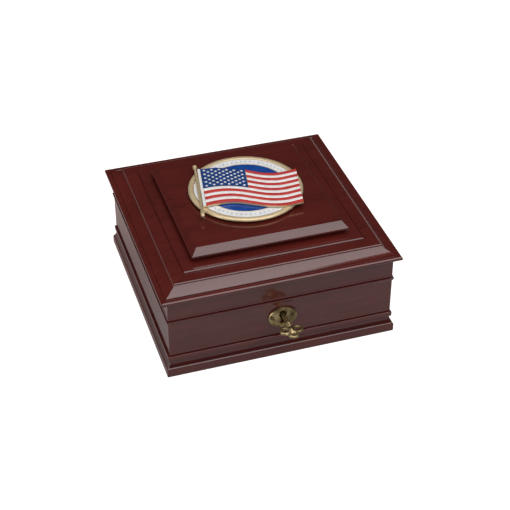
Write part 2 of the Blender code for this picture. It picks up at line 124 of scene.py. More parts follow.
def mix(tree, factor, a, b, kind="MIX"):
    """Blends two colours: the factor and both colours may be sockets or values."""
    node = tree.nodes.new("ShaderNodeMix")
    node.data_type = "RGBA"
    node.blend_type = kind
    for value, socket in ((factor, node.inputs["Factor"]), (a, node.inputs["A"]), (b, node.inputs["B"])):
        if isinstance(value, bpy.types.NodeSocket):
            link(tree, value, socket)
        elif hasattr(value, "__len__"):
            socket.default_value = tuple(value[:3]) + (1.0,)
        else:
            socket.default_value = value
    return node.outputs["Result"]


def remap(tree, value, low, high):
    """Spreads the middle of a noise over the range from low to high."""
    node = tree.nodes.new("ShaderNodeMapRange")
    node.inputs["From Min"].default_value = 0.3
    node.inputs["From Max"].default_value = 0.7
    node.inputs["To Min"].default_value = low
    node.inputs["To Max"].default_value = high
    link(tree, value, node.inputs["Value"])
    return node.outputs["Result"]


def bump(tree, height, strength, distance):
    node = tree.nodes.new("ShaderNodeBump")
    node.inputs["Strength"].default_value = strength
    node.inputs["Distance"].default_value = distance
    link(tree, height, node.inputs["Height"])
    return node.outputs["Normal"]


# ------------------------------------------------------------------ materials

# Heights in metres of the painted shade bands: the plinth's hollow and the corner under the lid's nose, where
# the base colour is darkened to stand for shade.
PAINTED_SHADE_BANDS = ((0.0084, 0.0146), (0.0756, 0.0790))
HOLLOW_SHADE = 0.62
WOOD_TONES = [(0.25, (0.080, 0.0088, 0.0062)), (0.5, (0.096, 0.0112, 0.0080))]
WOOD_TONES += [(0.78, (0.112, 0.0140, 0.0102))]
PORE_TONE = (0.014, 0.0014, 0.001)


def hollow(tree, low, high):
    """Painted shade for the heights between low and high: the base colour darkens in a moulding's hollow and
    under an overhang, where shade falls.
    """
    height = tree.nodes.new("ShaderNodeSeparateXYZ")
    link(tree, object_coords(tree), height.inputs["Vector"])
    share = tree.nodes.new("ShaderNodeMapRange")
    share.inputs["From Min"].default_value = low
    share.inputs["From Max"].default_value = high
    link(tree, height.outputs["Z"], share.inputs["Value"])
    stops = [(0.0, 1.0), (0.15, HOLLOW_SHADE), (0.6, HOLLOW_SHADE), (1.0, 1.0)]
    return ramp(tree, share.outputs["Result"], stops)


def mahogany(name, grain_turn=0.0, offset=0.0):
    """Stained hardwood under a glossy lacquer, with its grain along X turned by grain_turn."""
    material, tree, shader = new_material(name)
    turn = (0.0, 0.0, grain_turn)
    stretched = object_coords(tree, (14.0, 150.0, 150.0), turn, (offset, offset * 2.1, 0.3 * offset))
    fine = object_coords(tree, (90.0, 1500.0, 1500.0), turn, (offset, 0.0, offset))
    cloud = object_coords(tree, (22.0, 40.0, 40.0), turn, (0.0, offset, 0.0))
    figure = noise(tree, stretched, 1.0, 5.0, 0.6, 0.6)
    pores = noise(tree, fine, 1.0, 2.0, 0.5)
    blotch = noise(tree, cloud, 1.0, 3.0, 0.5)
    base = ramp(tree, figure, WOOD_TONES)
    shade = ramp(tree, blotch, [(0.3, 0.80), (0.7, 1.0)])
    base = mix(tree, 1.0, base, shade, "MULTIPLY")
    pore_mask = ramp(tree, pores, [(0.56, 0.0), (0.76, 0.45)])
    base = mix(tree, pore_mask, base, PORE_TONE)
    # Painted shade: the base colour is darkened in the plinth's hollow and under the lid's nose.
    for low, high in PAINTED_SHADE_BANDS:
        base = mix(tree, 1.0, base, hollow(tree, low, high), "MULTIPLY")
    link(tree, base, shader.inputs["Base Color"])
    link(tree, remap(tree, pores, 0.42, 0.55), shader.inputs["Roughness"])
    link(tree, bump(tree, pores, 0.12, 0.00004), shader.inputs["Normal"])
    wavy = noise(tree, object_coords(tree, (60.0, 60.0, 60.0), turn), 1.0, 2.0, 0.5)
    link(tree, bump(tree, wavy, 0.05, 0.0004), shader.inputs["Coat Normal"])
    shader.inputs["Specular IOR Level"].default_value = 0.05
    shader.inputs["Coat Weight"].default_value = 1.0
    shader.inputs["Coat Roughness"].default_value = 0.11
    shader.inputs["Coat IOR"].default_value = 1.65
    return material


def metal(name, colours, rough, scale=900.0, relief=0.15, patina=None, metallic=1.0):
    """Cast or plated metal with fine uneven tone. patina darkens it in patches."""
    material, tree, shader = new_material(name)
    where = object_coords(tree)
    fine = noise(tree, where, scale, 4.0, 0.6)
    broad = noise(tree, where, scale * 0.12, 3.0, 0.5)
    base = ramp(tree, fine, [(0.35, colours[0]), (0.65, colours[1])])
    if patina:
        base = mix(tree, ramp(tree, broad, [(0.42, 0.0), (0.62, 0.75)]), base, patina)
    link(tree, base, shader.inputs["Base Color"])
    link(tree, remap(tree, broad, rough[0], rough[1]), shader.inputs["Roughness"])
    link(tree, bump(tree, fine, relief, 0.00006), shader.inputs["Normal"])
    shader.inputs["Metallic"].default_value = metallic
    return material


def enamel(name, dark, light):
    """Hard glossy enamel with a slightly uneven, pooled tone."""
    material, tree, shader = new_material(name)
    where = object_coords(tree)
    pooled = noise(tree, where, 160.0, 3.0, 0.5)
    grain = noise(tree, where, 2600.0, 2.0, 0.5)
    link(tree, ramp(tree, pooled, [(0.3, dark), (0.7, light)]), shader.inputs["Base Color"])
    link(tree, remap(tree, pooled, 0.128, 0.224), shader.inputs["Roughness"])
    link(tree, bump(tree, grain, 0.04, 0.00003), shader.inputs["Normal"])
    shader.inputs["Coat Weight"].default_value = 0.4
    shader.inputs["Coat Roughness"].default_value = 0.08
    return material


def pile(name, dark, light, scale, sheen):
    """Velvet or felt: short uneven fibres with sheen."""
    material, tree, shader = new_material(name)
    where = object_coords(tree)
    fibres = noise(tree, where, scale, 5.0, 0.7)
    nap = noise(tree, where, scale * 0.03, 3.0, 0.5)
    base = ramp(tree, fibres, [(0.3, dark), (0.7, light)])
    base = mix(tree, 1.0, base, ramp(tree, nap, [(0.3, 0.7), (0.7, 1.0)]), "MULTIPLY")
    link(tree, base, shader.inputs["Base Color"])
    link(tree, bump(tree, fibres, 0.6, 0.0003), shader.inputs["Normal"])
    shader.inputs["Roughness"].default_value = 0.95
    shader.inputs["Specular IOR Level"].default_value = 0.1
    shader.inputs["Sheen Weight"].default_value = sheen
    shader.inputs["Sheen Roughness"].default_value = 0.35
    shader.inputs["Sheen Tint"].default_value = tuple(light) + (1.0,)
    return material


def raw_ply(name):
    """Bare plywood with its grain along X."""
    material, tree, shader = new_material(name)
    grain = noise(tree, object_coords(tree, (12.0, 260.0, 260.0)), 1.0, 5.0, 0.6, 0.4)
    base = ramp(tree, grain, [(0.3, (0.24, 0.13, 0.065)), (0.7, (0.46, 0.29, 0.16))])
    link(tree, base, shader.inputs["Base Color"])
    link(tree, bump(tree, grain, 0.3, 0.0002), shader.inputs["Normal"])
    shader.inputs["Roughness"].default_value = 0.75
    return material


WOOD_X = mahogany("mahogany_along_x", 0.0, 0.0)
WOOD_Y = mahogany("mahogany_along_y", QUARTER, 3.7)
WOOD_PANEL = mahogany("mahogany_lid_panel", 0.0, 11.3)
WOOD_RAISED = mahogany("mahogany_raised_panel", 0.0, 23.9)
GOLD = metal("pale_gold", ((0.66, 0.50, 0.28), (0.80, 0.65, 0.42)), (0.42, 0.54), 700.0, 0.12, None, 0.6)
AGED = (0.10, 0.07, 0.032)
DULL = (0.2, 0.14, 0.05)
BRASS = metal("antique_brass", ((0.36, 0.27, 0.12), (0.62, 0.50, 0.27)), (0.34, 0.46), 800.0, 0.3, AGED)
DARK_BRASS = metal("dark_brass", ((0.10, 0.07, 0.03), (0.20, 0.15, 0.07)), (0.40, 0.52), 800.0, 0.3)
HINGE_BRASS = metal("hinge_brass", ((0.42, 0.31, 0.12), (0.58, 0.45, 0.19)), (0.25, 0.4), 900.0, 0.2, DULL)
STEEL = metal("zinc_steel", ((0.42, 0.42, 0.42), (0.60, 0.60, 0.59)), (0.25, 0.4), 900.0, 0.2)
WHITE = enamel("white_enamel", (0.74, 0.74, 0.75), (0.86, 0.86, 0.86))
STRIPE_WHITE = enamel("warm_white_enamel", (0.80, 0.755, 0.745), (0.92, 0.875, 0.865))
RED = enamel("red_enamel", (0.48, 0.040, 0.036), (0.58, 0.058, 0.050))
NAVY = enamel("navy_enamel", (0.012, 0.042, 0.160), (0.020, 0.062, 0.235))
BLUE = enamel("blue_enamel", (0.006, 0.050, 0.235), (0.010, 0.072, 0.33))
INK = enamel("grey_dots", (0.20, 0.21, 0.27), (0.32, 0.33, 0.40))
VELVET = pile("black_velvet", (0.005, 0.005, 0.006), (0.028, 0.026, 0.030), 3500.0, 0.6)
FELT = pile("brown_felt", (0.016, 0.008, 0.006), (0.05, 0.026, 0.02), 1800.0, 0.25)
PLY = raw_ply("raw_plywood")

# The first entry that a node's name starts with gives its finish, and the screws and the bolt are steel.
BY_NAME = [("wall_lining_", VELVET)]
for strip in ("plinth_", "wall_", "skirt_", "lid_moulding_"):
    BY_NAME += [(strip + "front", WOOD_X), (strip + "back", WOOD_X), (strip, WOOD_Y)]
BY_NAME += [
    ("lid_panel", WOOD_PANEL),
    ("raised_panel", WOOD_RAISED),
    ("lid_lining", VELVET),
    ("floor_lining", VELVET),
    ("bottom_panel", PLY),
    ("bottom_felt", FELT),
    ("escutcheon_pin_", DARK_BRASS),
    ("escutcheon", BRASS),
    ("key", BRASS),
    ("lock_case", HINGE_BRASS),
    ("lock_cover", HINGE_BRASS),
    ("catch_plate", HINGE_BRASS),
    ("hinge_pin_", STEEL),
    ("hinge_", HINGE_BRASS),
    ("medallion_white_ring", WHITE),
    ("medallion_blue_field", BLUE),
    ("medallion_", GOLD),
]

# ------------------------------------------------------------------ soft edges on the CAD nodes


SHARP_ANGLE = 38.0
LARGE_FLAT = 3e-4
SPLIT_CORNER = 2e-6


def smoothing_group():
    """Joins split corners and shades smooth across small angles. Large flats stay flat. No point moves."""
    group = bpy.data.node_groups.new("soft_edges", "GeometryNodeTree")
    group.interface.new_socket("Geometry", in_out="INPUT", socket_type="NodeSocketGeometry")
    group.interface.new_socket("Geometry", in_out="OUTPUT", socket_type="NodeSocketGeometry")
    entry = group.nodes.new("NodeGroupInput")
    clear = group.nodes.new("GeometryNodeRemoveAttribute")
    clear.inputs["Name"].default_value = "custom_normal"
    merge = group.nodes.new("GeometryNodeMergeByDistance")
    merge.inputs["Distance"].default_value = SPLIT_CORNER
    faces = group.nodes.new("GeometryNodeSetShadeSmooth")
    edges = group.nodes.new("GeometryNodeSetShadeSmooth")
    edges.domain = "EDGE"
    edges.inputs["Shade Smooth"].default_value = False
    leave = group.nodes.new("NodeGroupOutput")
    chain = (entry, clear, merge, faces, edges, leave)
    for before, after in zip(chain, chain[1:]):
        group.links.new(before.outputs["Geometry"], after.inputs["Geometry"])
    area = group.nodes.new("GeometryNodeInputMeshFaceArea")
    angle = group.nodes.new("GeometryNodeInputMeshEdgeAngle")
    tests = (
        (area.outputs["Area"], "LESS_THAN", LARGE_FLAT, faces),
        (angle.outputs["Unsigned Angle"], "GREATER_THAN", math.radians(SHARP_ANGLE), edges),
    )
    for measure, operation, limit, shader in tests:
        compare = group.nodes.new("FunctionNodeCompare")
        compare.data_type = "FLOAT"
        compare.operation = operation
        compare.inputs["B"].default_value = limit
        group.links.new(measure, compare.inputs["A"])
        group.links.new(compare.outputs["Result"], shader.inputs["Selection"])
    return group


SOFT = smoothing_group()
for name, obj in nodes.items():
    finishes = [material for start, material in BY_NAME if name.startswith(start)] + [STEEL]
    obj.data.materials.clear()
    obj.data.materials.append(finishes[0])
    modifier = obj.modifiers.new("soft_edges", "NODES")
    modifier.node_group = SOFT

# ------------------------------------------------------------------ mesh helpers, in millimetres


def finish_piece(name, bm, material, body, smooth=True, angle=SHARP_ANGLE):
    """Turns a mesh in millimetres into a piece that rides on a body."""
    bmesh.ops.recalc_face_normals(bm, faces=bm.faces[:])
    bmesh.ops.scale(bm, vec=(MM, MM, MM), verts=bm.verts[:])
    mesh = bpy.data.meshes.new(name)
    bm.to_mesh(mesh)
    bm.free()
    mesh.materials.append(material)
    if smooth:
        mesh.shade_smooth()
        mesh.set_sharp_from_angle(angle=math.radians(angle))
    obj = bpy.data.objects.new(name, mesh)
    scene.collection.objects.link(obj)
    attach(obj, body)
    return obj


def loft(bm, rings, close_ends=True):
    """Joins rings of equal length into one closed tube."""
    made = [[bm.verts.new(p) for p in ring] for ring in rings]
    count = len(made[0])
    for a, b in zip(made, made[1:]):
        for i in range(count):
            j = (i + 1) % count
            bm.faces.new((a[i], a[j], b[j], b[i]))
    if close_ends:
        bm.faces.new(list(reversed(made[0])))
        bm.faces.new(made[-1])


def ring_loft(bm, section, centre=(0, 0), count=96):
    """A closed section of (radius, height) swept all round."""
    rings = []
    for k in range(count):
        a = 2 * math.pi * k / count
        rings.append(
            [bm.verts.new((centre[0] + r * math.cos(a), centre[1] + r * math.sin(a), z)) for r, z in section]
        )
    n = len(section)
    for k in range(count):
        a, b = rings[k], rings[(k + 1) % count]
        for i in range(n):
            j = (i + 1) % n
            bm.faces.new((a[i], a[j], b[j], b[i]))


# ------------------------------------------------------------------ filler in the mitred corners


FILLER_WIDTH = 0.3
FILLER_SINK = 0.06


def arc(centre, radii, first, last, count):
    """Points on an ellipse from the first to the last angle, in degrees."""
    found = []
    for i in range(count + 1):
        angle = math.radians(first + (last - first) * i / count)
        found.append((centre[0] + radii[0] * math.cos(angle), centre[1] + radii[1] * math.sin(angle)))
    return found


def filler(name, outline, body):
    """A thin slab of stained filler in each of the four mitres."""
    bm = bmesh.new()
    for corner in range(4):
        turn = Matrix.Rotation((corner + 0.5) * QUARTER, 3, "Z")
        rings = []
        for side in (-FILLER_WIDTH / 2, FILLER_WIDTH / 2):
            rings.append([turn @ Vector(((d - FILLER_SINK) * math.sqrt(2), side, z)) for d, z in outline])
        loft(bm, rings)
    return finish_piece(name, bm, WOOD_Y, body, smooth=False)


def bend(start, control, end, count):
    """Points on a quadratic curve from start to end."""
    found = []
    for i in range(count + 1):
        t = i / count
        found.append(
            tuple((1 - t) ** 2 * a + 2 * t * (1 - t) * b + t * t * c for a, b, c in zip(start, control, end))
        )
    return found


# Each outline is (distance out from the middle, height), just inside the moulding's own section.
PLINTH = [(90.2, 20.4), (100.0, 20.5), (100.3, 20.35), (100.35, 20.1), (100.35, 17.9)]
PLINTH += arc((98.9, 17.4), (1.45, 2.15), -8, -84, 6)
PLINTH += [(98.85, 14.9)]
PLINTH += bend((98.9, 14.6), (99.75, 11.0), (101.45, 8.7), 6)
PLINTH += [(101.85, 8.25), (102.1, 7.7), (102.2, 7.1), (102.2, 1.1), (101.9, 0.6), (101.4, 0.4)]
PLINTH += [(93.5, 0.4), (93.5, 7.2), (90.2, 7.2)]
filler("mitre_filler_plinth", PLINTH, "box")
WALL = [(90.2, 57.85), (99.9, 57.85), (100.15, 57.7), (100.25, 57.4), (100.25, 56.95)]
WALL += [(99.85, 55.85), (99.25, 54.75), (98.97, 54.25), (98.97, 21.75), (98.2, 21.0), (90.2, 21.0)]
filler("mitre_filler_wall", WALL, "box")
SKIRT = [(90.2, 79.25), (98.97, 79.25), (98.97, 60.65), (99.25, 59.85), (99.4, 59.2), (99.25, 58.85)]
SKIRT += [(98.8, 58.35), (90.2, 58.35)]
filler("mitre_filler_skirt", SKIRT, "lid")
LID = [(80.0, 88.78), (90.0, 88.78), (90.5, 88.58), (90.88, 88.1)]
LID += bend((90.98, 87.8), (92.9, 84.38), (100.3, 82.88), 8)
LID += [(100.38, 81.68), (103.5, 81.56), (104.35, 81.2), (104.85, 80.6), (104.95, 79.9), (104.85, 79.2)]
LID += [(104.45, 78.7), (103.9, 78.5), (99.5, 78.5), (99.5, 79.75), (80.0, 79.75)]
filler("mitre_filler_lid", LID, "lid")

# ------------------------------------------------------------------ medallion

TURN = math.radians(-16.0)
FLAG_TOP = place_of("medallion_flag")[1].z
MEDAL_Y = sum(corner.y for corner in place_of("medallion_disc")) / 2
FLAG_Y = 2.3
ENAMEL_FOOT = FLAG_TOP - 0.05
ENAMEL_FACE = FLAG_TOP + 0.12


def on_medal(u, v, z):
    """A point in the flag's own turned frame."""
    return Matrix.Rotation(TURN, 3, "Z") @ Vector((u, v, z)) + Vector((0, FLAG_Y, 0))


TOP_EDGE = [
    (-43.0, 27.2),
    (-40.0, 27.0),
    (-27.0, 28.6),
    (-13.3, 27.1),
    (-0.6, 25.3),
    (9.3, 21.9),
    (18.3, 19.8),
    (27.4, 19.7),
    (36.4, 22.1),
    (45.1, 25.2),
]
FOOT_EDGE = [
    (-37.25, -31.5),
    (-35.8, -30.5),
    (-26.2, -27.1),
    (-13.1, -24.6),
    (-4.4, -25.3),
    (8.8, -28.8),
    (21.8, -31.5),
    (34.9, -31.0),
    (48.8, -26.1),
]


def along(points, t):
    """A point a share t of the way along a smooth curve, by its first coordinate."""
    want = points[0][0] + t * (points[-1][0] - points[0][0])
    for i in range(len(points) - 1):
        if want <= points[i + 1][0] or i == len(points) - 2:
            break
    p0 = points[max(i - 1, 0)]
    p1, p2 = points[i], points[i + 1]
    p3 = points[min(i + 2, len(points) - 1)]
    f = (want - p1[0]) / (p2[0] - p1[0])

    def slope(a, b):
        return (b[1] - a[1]) / (b[0] - a[0])

    width = p2[0] - p1[0]
    m1 = slope(p0, p2) * width
    m2 = slope(p1, p3) * width
    f2, f3 = f * f, f * f * f
    ends = (2 * f3 - 3 * f2 + 1) * p1[1] + (-2 * f3 + 3 * f2) * p2[1]
    slopes = (f3 - 2 * f2 + f) * m1 + (f3 - f2) * m2
    return want, ends + slopes


def on_flag(s, t):
    """(u, v) on the flag: s runs from the hoist to the fly, t from the top edge to the foot."""
    top = along(TOP_EDGE, s)
    foot = along(FOOT_EDGE, s)
    return top[0] + (foot[0] - top[0]) * t, top[1] + (foot[1] - top[1]) * t


def ripple(s):
    """Height of the flag's relief: a crest a third along, a trough, and a rise at the fly."""
    return 0.30 * math.sin(2 * math.pi * (s * 1.08 + 0.02)) + 0.34


def ribbon(bm, s0, s1, t0, t1, crown, lift=0.0, steps=40, across=6, gap=0.09):
    """A crowned strip of enamel on the flag, as one closed solid."""
    rings = []
    for i in range(steps + 1):
        s = s0 + (s1 - s0) * i / steps
        edge_a = Vector(on_flag(s, t0))
        edge_b = Vector(on_flag(s, t1))
        way = (edge_b - edge_a).normalized()
        edge_a = edge_a + way * gap
        edge_b = edge_b - way * gap
        ring = []
        for k in range(across + 1):
            f = k / across
            u, v = edge_a + (edge_b - edge_a) * f
            dome = crown * (1 - (2 * f - 1) ** 2) ** 0.5 if 0 < f < 1 else 0.0
            ring.append(on_medal(u, v, ENAMEL_FACE + lift + ripple(s) + dome))
        ring.append(on_medal(edge_b.x, edge_b.y, ENAMEL_FOOT))
        ring.append(on_medal(edge_a.x, edge_a.y, ENAMEL_FOOT))
        rings.append(ring)
    loft(bm, rings)


# Where the hoist strip, the canton and the stripes end, and half the gap between them, as shares of length.
HOIST = 0.030
CANTON = 0.483
FLY = 0.997
CELL_GAP = 0.002

STRIPES = 13
SHORT_STRIPES = 7
CANTON_FOOT = SHORT_STRIPES / STRIPES
STAR_R = 1.55

reds = bmesh.new()
whites = bmesh.new()
for stripe in range(STRIPES):
    beside_canton = stripe < SHORT_STRIPES
    start = (CANTON if beside_canton else HOIST) + CELL_GAP
    target = reds if stripe % 2 == 0 else whites
    raised = 0.14 if stripe % 2 == 0 else 0.0
    steps = 44 if beside_canton else 64
    ribbon(target, start, FLY, stripe / STRIPES, (stripe + 1) / STRIPES, 0.20, raised, steps)
finish_piece("flag_red_stripes", reds, RED, "lid")
finish_piece("flag_white_stripes", whites, STRIPE_WHITE, "lid")

hoist = bmesh.new()
ribbon(hoist, 0.004, HOIST - CELL_GAP, 0.0, 1.0, 0.0, 0.30, 4, 30, 0.1)
finish_piece("flag_hoist_strip", hoist, WHITE, "lid")

canton = bmesh.new()
ribbon(canton, HOIST + CELL_GAP, CANTON - CELL_GAP, 0.0, CANTON_FOOT, 0.0, 0.10, 30, 14)
finish_piece("flag_canton", canton, NAVY, "lid")


def star(bm, s, t, radius):
    """A raised five-pointed star that lies on the canton."""
    u, v = on_flag(s, t)
    base = FLAG_TOP + 0.20 + ripple(s)
    outline = []
    for k in range(10):
        a = math.pi / 2 + k * math.pi / 5
        r = radius if k % 2 == 0 else radius * 0.45
        outline.append((u + r * math.cos(a), v + r * math.sin(a)))
    low = [bm.verts.new(on_medal(x, y, base)) for x, y in outline]
    high = [bm.verts.new(on_medal(x, y, base + 0.12)) for x, y in outline]
    peak = bm.verts.new(on_medal(u, v, base + 0.24))
    for k in range(10):
        j = (k + 1) % 10
        bm.faces.new((low[k], low[j], high[j], high[k]))
        bm.faces.new((high[k], high[j], peak))
    bm.faces.new(list(reversed(low)))


stars = bmesh.new()
for row in range(9):
    count = 6 if row % 2 == 0 else 5
    for column in range(count):
        step = (2 * column + 1 + (row % 2)) / 12
        star(stars, HOIST + (CANTON - HOIST) * step, (row + 1) / 10 * CANTON_FOOT, STAR_R)
finish_piece("flag_stars", stars, WHITE, "lid", smooth=False)

WIRE_SECTION = [(36.75, 104.3), (37.45, 104.3), (37.45, 105.2)]
WIRE_SECTION += [(37.3, 105.32), (36.9, 105.32), (36.75, 105.2)]
cloison = bmesh.new()
ring_loft(cloison, WIRE_SECTION, (0, MEDAL_Y))
finish_piece("medallion_inner_wire", cloison, GOLD, "lid")

MARKS = 64
MARK_RING = 41.4
MARK_HALF_WIDTH = 0.55
MARK_FOOT = 105.02
MARK_PEAK = 105.35
dots = bmesh.new()
for k in range(MARKS):
    a = 2 * math.pi * k / MARKS
    tall = 1.5 if k % 2 == 0 else 1.0
    wide = MARK_HALF_WIDTH
    out = Vector((math.cos(a), math.sin(a)))
    side = Vector((-out.y, out.x))
    outline = [(-tall, 0.0), (-tall / 2, -wide), (tall / 2, -wide)]
    outline += [(tall, 0.0), (tall / 2, wide), (-tall / 2, wide)]
    corners = [out * (MARK_RING + p) + side * q for p, q in outline]
    low = [dots.verts.new((c.x, c.y + MEDAL_Y, MARK_FOOT)) for c in corners]
    peak = dots.verts.new((out.x * MARK_RING, out.y * MARK_RING + MEDAL_Y, MARK_PEAK))
    for i in range(6):
        dots.faces.new((low[i], low[(i + 1) % 6], peak))
    dots.faces.new(list(reversed(low)))
finish_piece("medallion_ring_dots", dots, INK, "lid", smooth=False)

# ------------------------------------------------------------------ key and escutcheon


def turned(bm, centre, axis, profile, count=32):
    """A closed turned solid: profile is (radius, place along the axis) from end to end."""
    spin = Vector((0, 0, 1)).rotation_difference(Vector(axis))
    rings = []
    for radius, height in profile:
        ring = []
        for k in range(count):
            a = 2 * math.pi * k / count
            ring.append(Vector(centre) + spin @ Vector((radius * math.cos(a), radius * math.sin(a), height)))
        rings.append(ring)
    loft(bm, rings)


def torus(bm, centre, major, minor, flat, count=40, sides=16):
    """A closed ring round Z, its section squashed to flat times its width."""
    rings = []
    for k in range(count):
        a = 2 * math.pi * k / count
        ring = []
        for j in range(sides):
            b = 2 * math.pi * j / sides
            r = major + minor * math.cos(b)
            lift = minor * flat * math.sin(b)
            ring.append(Vector(centre) + Vector((r * math.cos(a), r * math.sin(a), lift)))
        rings.append(ring)
    rings.append(rings[0])
    loft(bm, rings, close_ends=False)
    bmesh.ops.remove_doubles(bm, verts=bm.verts[:], dist=1e-5)


KEY_Z = sum(corner.z for corner in place_of("key")) / 2
KEY_TIP = place_of("key")[1].y
BIT_Y = -93.5
HUB_Y = -124.3
HUB_HALF = 1.15
# Each ring of the bow is (place across, place along, radius).
BOWS = ((-5.3, -122.5, 3.5), (5.3, -122.5, 3.5), (0.0, -128.4, 3.4))
BOW_WIRE = 1.55
BOW_FLAT = 0.85
HUB = [(1.5, 0.0), (2.7, 0.35), (2.9, 1.15), (2.7, 1.95), (1.5, 2.3)]
SHAFT = [(1.2, 0.0), (1.85, 0.5), (1.85, 20.8), (2.9, 21.8), (3.0, 22.8), (2.9, 23.8)]
SHAFT += [(1.7, 24.4), (1.7, 25.0), (2.4, 25.6), (2.4, 26.4), (1.7, 27.0)]
SHAFT += [(1.9, 29.0), (2.2, 31.0), (1.6, 33.2), (0.6, 34.0)]
# Each cut across the bit is (place across, half its length, half its height).
BIT = [(-8.5, 0.7, 0.75), (-8.2, 0.9, 1.0), (-5.6, 0.9, 1.0), (-5.3, 0.6, 1.0), (-4.5, 0.6, 1.0)]
BIT += [(-4.2, 0.9, 1.0), (-0.6, 0.9, 1.0)]

key_bm = bmesh.new()
for x, y, radius in BOWS:
    torus(key_bm, (x, y, KEY_Z), radius, BOW_WIRE, BOW_FLAT)
turned(key_bm, (0, HUB_Y, KEY_Z - HUB_HALF), (0, 0, 1), HUB)
turned(key_bm, (0, KEY_TIP, KEY_Z), (0, -1, 0), SHAFT)
bit_rings = []
for x, half_y, half_z in BIT:
    corners = ((-half_y, -half_z), (half_y, -half_z), (half_y, half_z), (-half_y, half_z))
    bit_rings.append([Vector((x, BIT_Y + y, KEY_Z + z)) for y, z in corners])
loft(key_bm, bit_rings)
piece = finish_piece("key_cast", key_bm, BRASS, "key")
# The parts of the key overlap, so they are fused into one casting with eased inner corners.
fuse = piece.modifiers.new("fuse", "REMESH")
fuse.mode = "VOXEL"
fuse.voxel_size = 0.00026
fuse.use_smooth_shade = True
ease = piece.modifiers.new("ease", "SMOOTH")
ease.factor = 0.6
ease.iterations = 4
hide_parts("key")


PLATE_LOW, PLATE_HIGH = place_of("escutcheon")
PLATE_Z = (PLATE_LOW.z + PLATE_HIGH.z) / 2
PLATE_HALF_WIDTH = PLATE_HIGH.x
PLATE_HALF_HEIGHT = (PLATE_HIGH.z - PLATE_LOW.z) / 2
KEYHOLE_R = 3.5
SLOT_HALF_WIDTH = 2.0
SLOT_FOOT = 32.8


def keyhole_reach(a):
    """Distance from the plate's middle to the edge of the keyhole, in the direction a."""
    c, h = math.cos(a), math.sin(a)
    if h > -0.01:
        up = KEY_Z - PLATE_Z
        along_ray = h * up
        return along_ray + math.sqrt(max(0.0, along_ray**2 - up**2 + KEYHOLE_R**2))
    return min(SLOT_HALF_WIDTH / max(abs(c), 1e-6), (PLATE_Z - SLOT_FOOT) / abs(h))


# The plate's section from the rim to the keyhole: (share of the way out, distance from the box's middle).
PLATE = [(1.0, 99.35), (1.0, 100.3), (0.985, 100.8), (0.95, 101.1), (0.90, 101.0), (0.85, 100.45)]
PLATE += [(0.80, 100.1), (0.5, 100.2), (0.2, 100.4), (0.06, 100.4), (0.0, 100.2), (0.0, 99.35)]
PLATE_STEPS = 120
plate = bmesh.new()
plate_rings = []
for k in range(PLATE_STEPS):
    a = 2 * math.pi * k / PLATE_STEPS
    outer = 1 / math.hypot(math.cos(a) / PLATE_HALF_WIDTH, math.sin(a) / PLATE_HALF_HEIGHT)
    inner = keyhole_reach(a)
    ring = []
    for f, depth in PLATE:
        r = inner + (outer - inner) * f
        ring.append(Vector((r * math.cos(a), -depth, PLATE_Z + r * math.sin(a))))
    plate_rings.append(ring)
plate_rings.append(plate_rings[0])
loft(plate, plate_rings, close_ends=False)
bmesh.ops.remove_doubles(plate, verts=plate.verts[:], dist=1e-5)
piece = finish_piece("escutcheon_plate", plate, BRASS, "box")
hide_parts("escutcheon")

# ------------------------------------------------------------------ linings and felt


def eased_slab(corners, rise, ease_by):
    """A flat slab: a face through these corners, raised by a vector, with rounded edges."""
    bm = bmesh.new()
    face = bm.faces.new([bm.verts.new(corner) for corner in corners])
    grown = bmesh.ops.extrude_face_region(bm, geom=[face])
    raised = [item for item in grown["geom"] if isinstance(item, bmesh.types.BMVert)]
    bmesh.ops.translate(bm, verts=raised, vec=rise)
    bmesh.ops.recalc_face_normals(bm, faces=bm.faces[:])
    bmesh.ops.bevel(bm, geom=bm.edges[:], offset=ease_by, segments=4, profile=0.5, affect="EDGES")
    return bm


PAD_STEPS = 56
PAD_ROLL = 3.0


def pad_height(x, y, half):
    """Share of the pad's rise at a point: rolled over at the edges, crowned and a little wavy inside."""
    roll = min(1.0, min(half - abs(x), half - abs(y)) / PAD_ROLL)
    swell = (1 - (x / half) ** 2) * (1 - (y / half) ** 2)
    wave = 0.10 * math.sin(x / 11.0 + 1.3) * math.sin(y / 13.0)
    height = math.sqrt(max(0.0, 1 - (1 - roll) ** 2)) * (0.55 + 0.40 * swell**0.4) + wave * roll * 0.4
    return min(1.0, max(0.0, height))


def crowned_pad(name, half, edge_z, crown_z, back_z, body, node):
    """A square velvet pad: a flat back, and a face that swells in the middle and rolls over at its edges."""
    bm = bmesh.new()
    last = PAD_STEPS
    places = [half * math.sin((i / last - 0.5) * math.pi) for i in range(last + 1)]
    face = []
    for x in places:
        heights = [edge_z + (crown_z - edge_z) * pad_height(x, y, half) for y in places]
        face.append([bm.verts.new((x, y, z)) for y, z in zip(places, heights)])
    back = [[bm.verts.new((v.co.x, v.co.y, back_z)) for v in row] for row in face]
    for i in range(last):
        for j in range(last):
            bm.faces.new((face[i][j], face[i + 1][j], face[i + 1][j + 1], face[i][j + 1]))
            bm.faces.new((back[i][j], back[i][j + 1], back[i + 1][j + 1], back[i + 1][j]))
    for i in range(last):
        bm.faces.new((face[i][0], back[i][0], back[i + 1][0], face[i + 1][0]))
        bm.faces.new((face[i][last], face[i + 1][last], back[i + 1][last], back[i][last]))
        bm.faces.new((face[0][i], face[0][i + 1], back[0][i + 1], back[0][i]))
        bm.faces.new((face[last][i], back[last][i], back[last][i + 1], face[last][i + 1]))
    piece = finish_piece(name, bm, VELVET, body, angle=70.0)
    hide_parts(node)


PAD_HALF = 89.4
crowned_pad("velvet_floor_pad", PAD_HALF, 7.9, 10.3, 7.35, "box", "floor_lining")
crowned_pad("velvet_lid_pad", PAD_HALF, 79.0, 77.4, 79.3, "lid", "lid_lining")

